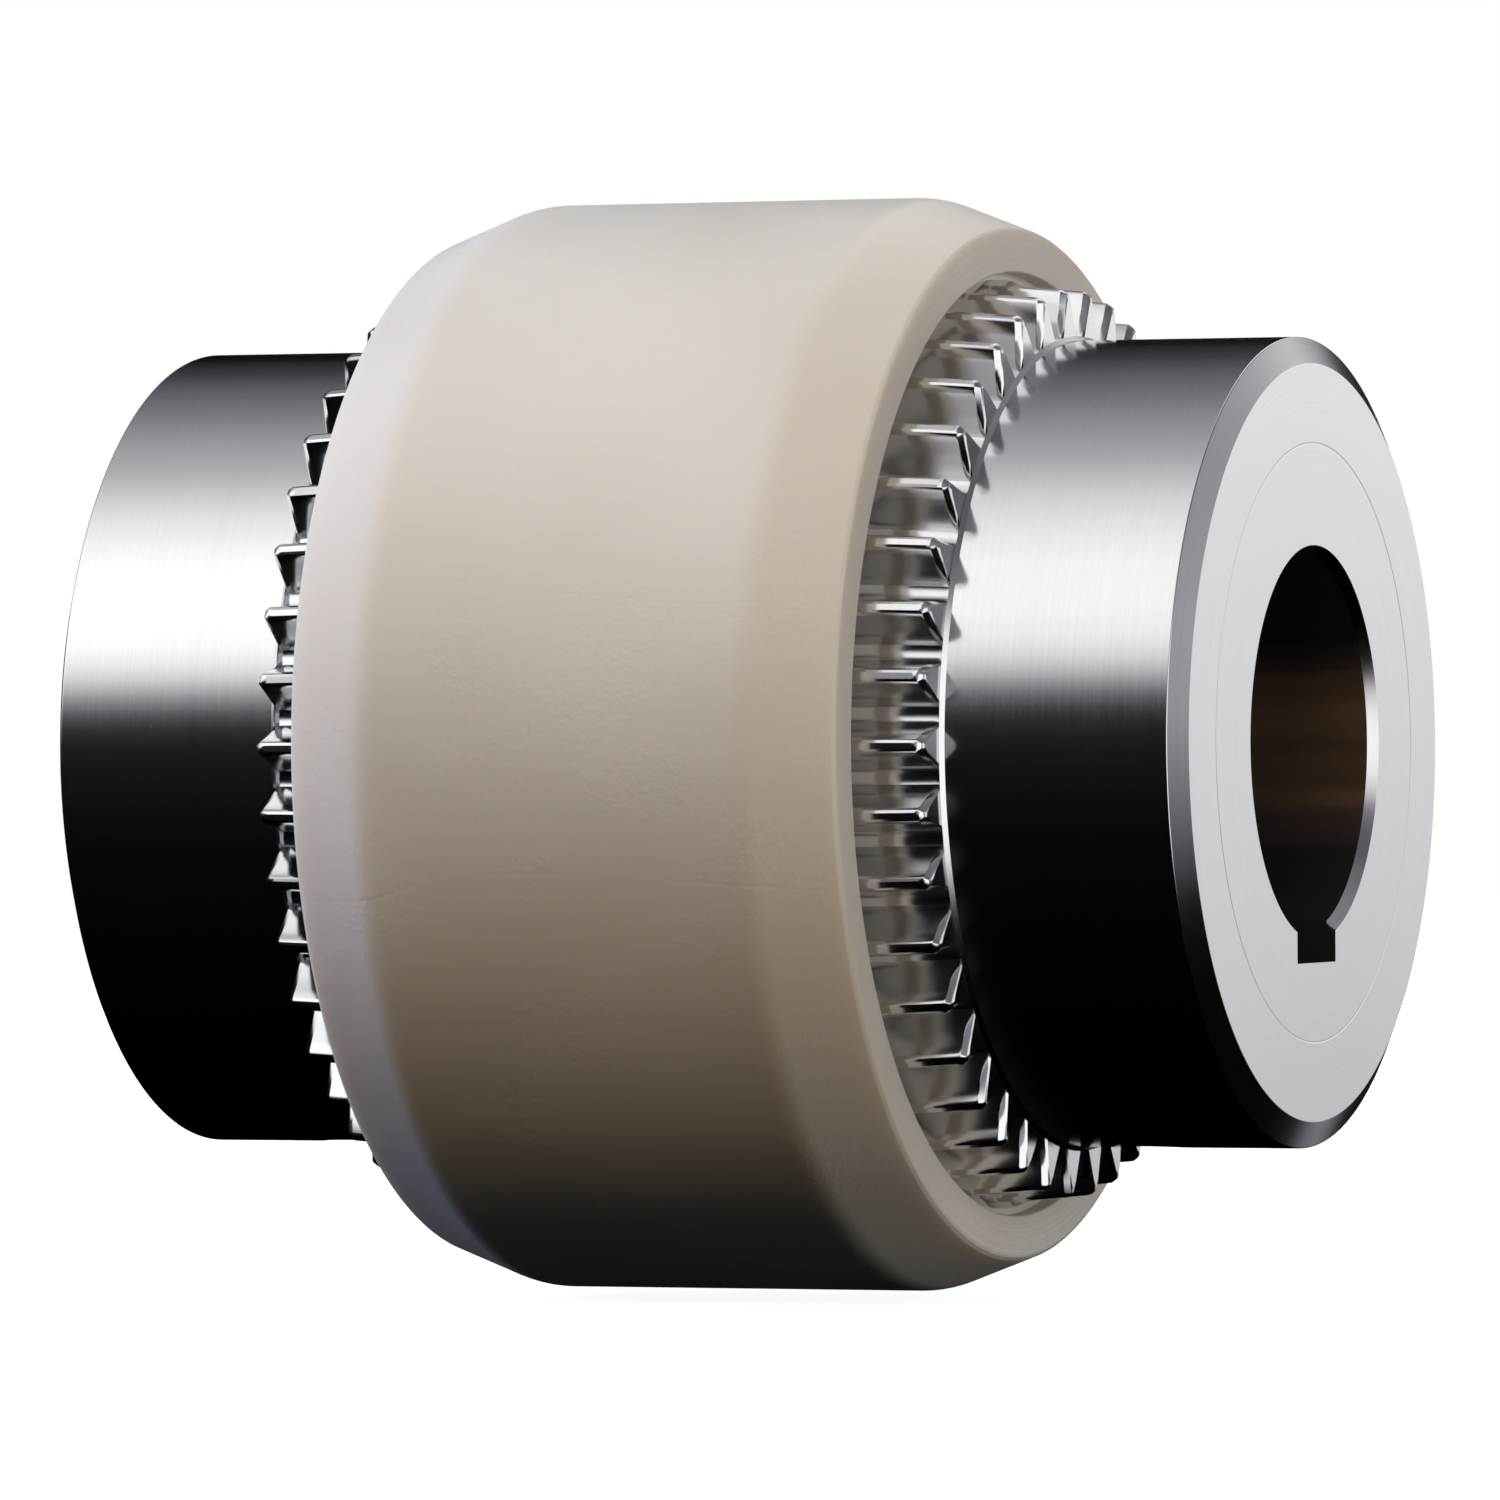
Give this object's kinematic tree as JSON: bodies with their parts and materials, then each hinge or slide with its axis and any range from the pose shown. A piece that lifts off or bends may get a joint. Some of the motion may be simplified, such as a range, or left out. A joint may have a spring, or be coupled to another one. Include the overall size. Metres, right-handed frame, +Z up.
{
  "type": "gear coupling",
  "caption": "Curved-tooth gear coupling: two bored steel hubs with crowned teeth and keyways, joined by a nylon sleeve with straight internal teeth and held by set screws.",
  "frame": {"origin": "centre of the coupling, on the shaft axis, midway between the two hubs", "axes": "+X along the shaft axis towards the right hub, +Z up, both keyways down along -Z"},
  "size_m": [0.144, 0.132, 0.132],
  "materials": {
    "sleeve_nylon": "satin ivory nylon, slightly translucent",
    "hub_steel": "turned bright steel",
    "screw_steel": "black oxide"
  },
  "bodies": {
    "left_hub": {"left_hub": "hub_steel", "left_set_screw": "screw_steel"},
    "sleeve": {"sleeve": "sleeve_nylon"},
    "right_hub": {"right_hub": "hub_steel", "right_set_screw": "screw_steel"}
  },
  "joints": [
    {"name": "sleeve_tilt", "type": "hinge", "parent": "left_hub", "child": "sleeve", "pos_m": [-0.0222, 0, 0], "axis": [0, 1, 0], "range_deg": [-1, 1]},
    {"name": "right_hub_slide", "type": "slide", "parent": "sleeve", "child": "right_hub", "axis": [1, 0, 0], "range_m": [-0.001, 0.04]}
  ]
}
